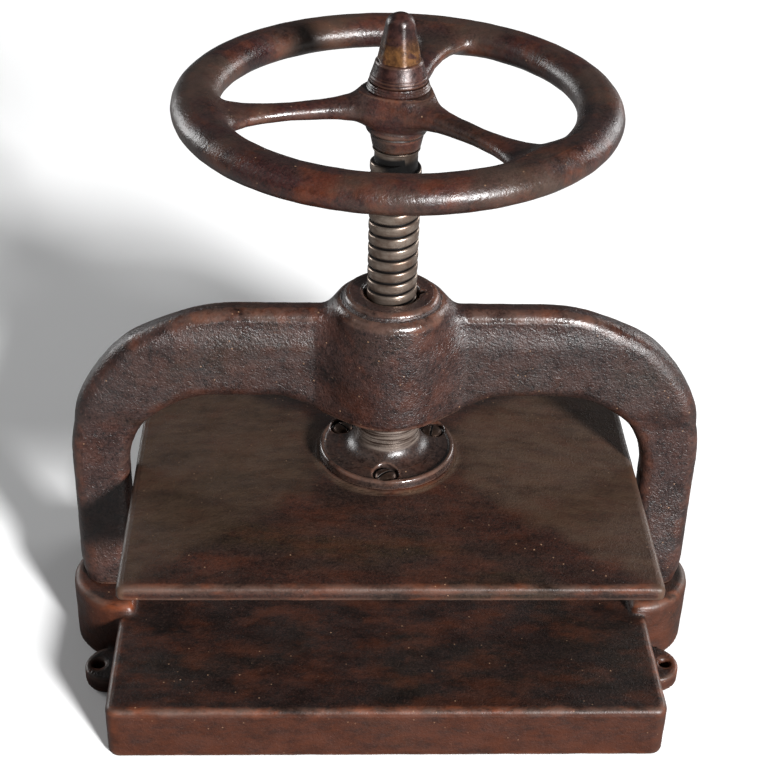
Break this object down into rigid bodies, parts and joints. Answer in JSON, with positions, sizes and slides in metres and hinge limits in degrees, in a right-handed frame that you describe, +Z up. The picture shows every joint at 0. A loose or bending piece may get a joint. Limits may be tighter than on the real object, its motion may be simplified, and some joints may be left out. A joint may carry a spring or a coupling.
{
  "type": "bookbinding press",
  "caption": "Cast-iron nipping press: flat bed with an arched yoke, hand-wheel screw and a drop platen that presses books on the bed.",
  "frame": {"origin": "centre of the bed's footprint, on the bench", "axes": "+Z up along the screw, +X across the press from leg to leg, -Y the working side"},
  "size_m": [0.393, 0.2412, 0.4155],
  "materials": {
    "bed_iron": "waxed dark brown casting, orange rust worn along the edges",
    "arch_iron": "fine pitted grey-brown casting, edges rubbed smooth",
    "platen_iron": "dark brown casting with red-brown and olive patches",
    "flange_iron": "turned iron, collar rubbed bright",
    "wheel_iron": "hand-polished reddish brown casting",
    "screw_steel": "worn warm grey steel with dark grease in the thread",
    "fixing_steel": "browned steel",
    "nut_bronze": "dull bronze",
    "finial_bronze": "browned bronze, amber where the spanner flats are rubbed"
  },
  "bodies": {
    "frame": {"base": "bed_iron", "arch": "arch_iron", "foot_bolt_left": "fixing_steel", "foot_bolt_right": "fixing_steel", "foot_washer_left": "fixing_steel", "foot_washer_right": "fixing_steel", "spindle_nut": "nut_bronze", "nut_lock_screw": "fixing_steel"},
    "platen": {"platen": "platen_iron", "retaining_flange": "flange_iron", "flange_screw_1": "fixing_steel", "flange_screw_2": "fixing_steel", "flange_screw_3": "fixing_steel", "thrust_button": "fixing_steel"},
    "spindle": {"spindle": "screw_steel", "thrust_collar": "fixing_steel", "collar_pin": "fixing_steel", "handwheel": "wheel_iron", "wheel_key": "fixing_steel", "hub_washer": "wheel_iron", "finial_nut": "finial_bronze"}
  },
  "joints": [
    {"name": "platen_lift", "type": "slide", "parent": "frame", "child": "platen", "axis": [0, 0, 1], "range_m": [-0.08, 0]},
    {"name": "wheel_turn", "type": "hinge", "parent": "platen", "child": "spindle", "pos_m": [0, 0, 0.1298], "axis": [0, 0, 1], "range_deg": [-3960, 0]}
  ],
  "couplings": [
    {"joint": "platen_lift", "follows": "wheel_turn", "m_per_rad": 0.001155}
  ]
}
